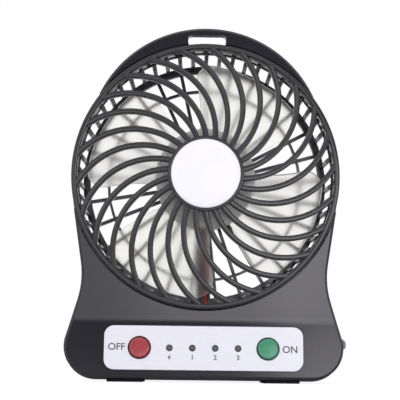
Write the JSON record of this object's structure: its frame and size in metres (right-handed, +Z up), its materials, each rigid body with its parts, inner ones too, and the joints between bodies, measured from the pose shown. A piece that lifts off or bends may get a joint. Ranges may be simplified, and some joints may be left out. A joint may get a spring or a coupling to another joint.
{
  "type": "portable camping fan",
  "caption": "Pocket-sized rechargeable fan that stands on a flared base, with a swirl front grille, an open rear basket, push buttons and a lanyard slot.",
  "frame": {"origin": "on the table, in the middle of the footprint", "axes": "+Z up, the fan blows towards -Y, +X is to the right seen from the front"},
  "size_m": [0.1119, 0.037, 0.143],
  "materials": {
    "case_plastic": "fine satin black moulded plastic",
    "guard_plastic": "satin black moulded plastic",
    "blade_plastic": "glossy translucent white plastic",
    "badge_plastic": "glossy white plastic",
    "panel_plastic": "silver-grey printed plastic",
    "red_plastic": "glossy red plastic",
    "green_plastic": "glossy green plastic",
    "lamp_plastic": "smoked clear plastic",
    "side_lamp_plastic": "clear plastic",
    "switch_plastic": "black plastic",
    "board_laminate": "green board with solder mask",
    "steel": "bright zinc-plated steel",
    "magnet_ferrite": "dark sintered ferrite",
    "bush_bronze": "sintered bronze",
    "red_lead": "red wire insulation",
    "black_lead": "black wire insulation",
    "cell_sleeve": "shrink-sleeved cell",
    "foot_rubber": "matte black rubber"
  },
  "bodies": {
    "fan_body": {"front_shell": "case_plastic", "rear_shell": "case_plastic", "front_grille": "guard_plastic", "hub_badge": "badge_plastic", "rear_guard": "guard_plastic", "guard_cage": "guard_plastic", "motor_can": "steel", "motor_end_cap": "switch_plastic", "motor_magnet": "magnet_ferrite", "front_bush": "bush_bronze", "rear_bush": "bush_bronze", "motor_clamp": "guard_plastic", "motor_screws": "steel", "red_motor_lead": "red_lead", "black_motor_lead": "black_lead", "panel_plate": "panel_plastic", "off_switch": "switch_plastic", "on_switch": "switch_plastic", "charging_lamp": "lamp_plastic", "speed_lamp_1": "lamp_plastic", "speed_lamp_2": "lamp_plastic", "speed_lamp_3": "lamp_plastic", "circuit_board": "board_laminate", "board_screws": "steel", "side_lamp": "side_lamp_plastic", "lamp_switch": "switch_plastic", "usb_socket": "steel", "battery_cell": "cell_sleeve", "battery_contact": "steel", "battery_spring": "steel", "foot_pin": "steel", "rubber_feet": "foot_rubber", "case_screws": "steel"},
    "impeller": {"impeller": "blade_plastic", "motor_shaft": "steel", "motor_armature": "steel"},
    "off_button": {"off_button": "red_plastic", "off_plunger": "switch_plastic"},
    "on_button": {"on_button": "green_plastic", "on_plunger": "switch_plastic"},
    "lamp_knob": {"lamp_knob": "switch_plastic"},
    "battery_door": {"battery_door": "case_plastic"},
    "foot_plate": {"foot_plate": "case_plastic"}
  },
  "joints": [
    {"name": "impeller_spin", "type": "hinge", "parent": "fan_body", "child": "impeller", "pos_m": [0, 0, 0.0825], "axis": [0, 1, 0], "continuous": true},
    {"name": "off_button_press", "type": "slide", "parent": "fan_body", "child": "off_button", "axis": [0, 0.9941, -0.1081], "range_m": [0, 0.0005], "stiffness_N_per_m": 1500, "springref_m": -0.0003},
    {"name": "on_button_press", "type": "slide", "parent": "fan_body", "child": "on_button", "axis": [0, 0.9941, -0.1081], "range_m": [0, 0.0005], "stiffness_N_per_m": 1500, "springref_m": -0.0003},
    {"name": "lamp_switch_slide", "type": "slide", "parent": "fan_body", "child": "lamp_knob", "axis": [0, 1, 0], "range_m": [0, 0.0025]},
    {"name": "battery_door_pull", "type": "slide", "parent": "fan_body", "child": "battery_door", "axis": [0, 1, 0], "range_m": [0, 0.04]},
    {"name": "foot_plate_fold", "type": "hinge", "parent": "fan_body", "child": "foot_plate", "pos_m": [0, 0.0166, 0.0019], "axis": [1, 0, 0], "range_deg": [0, 180]}
  ]
}
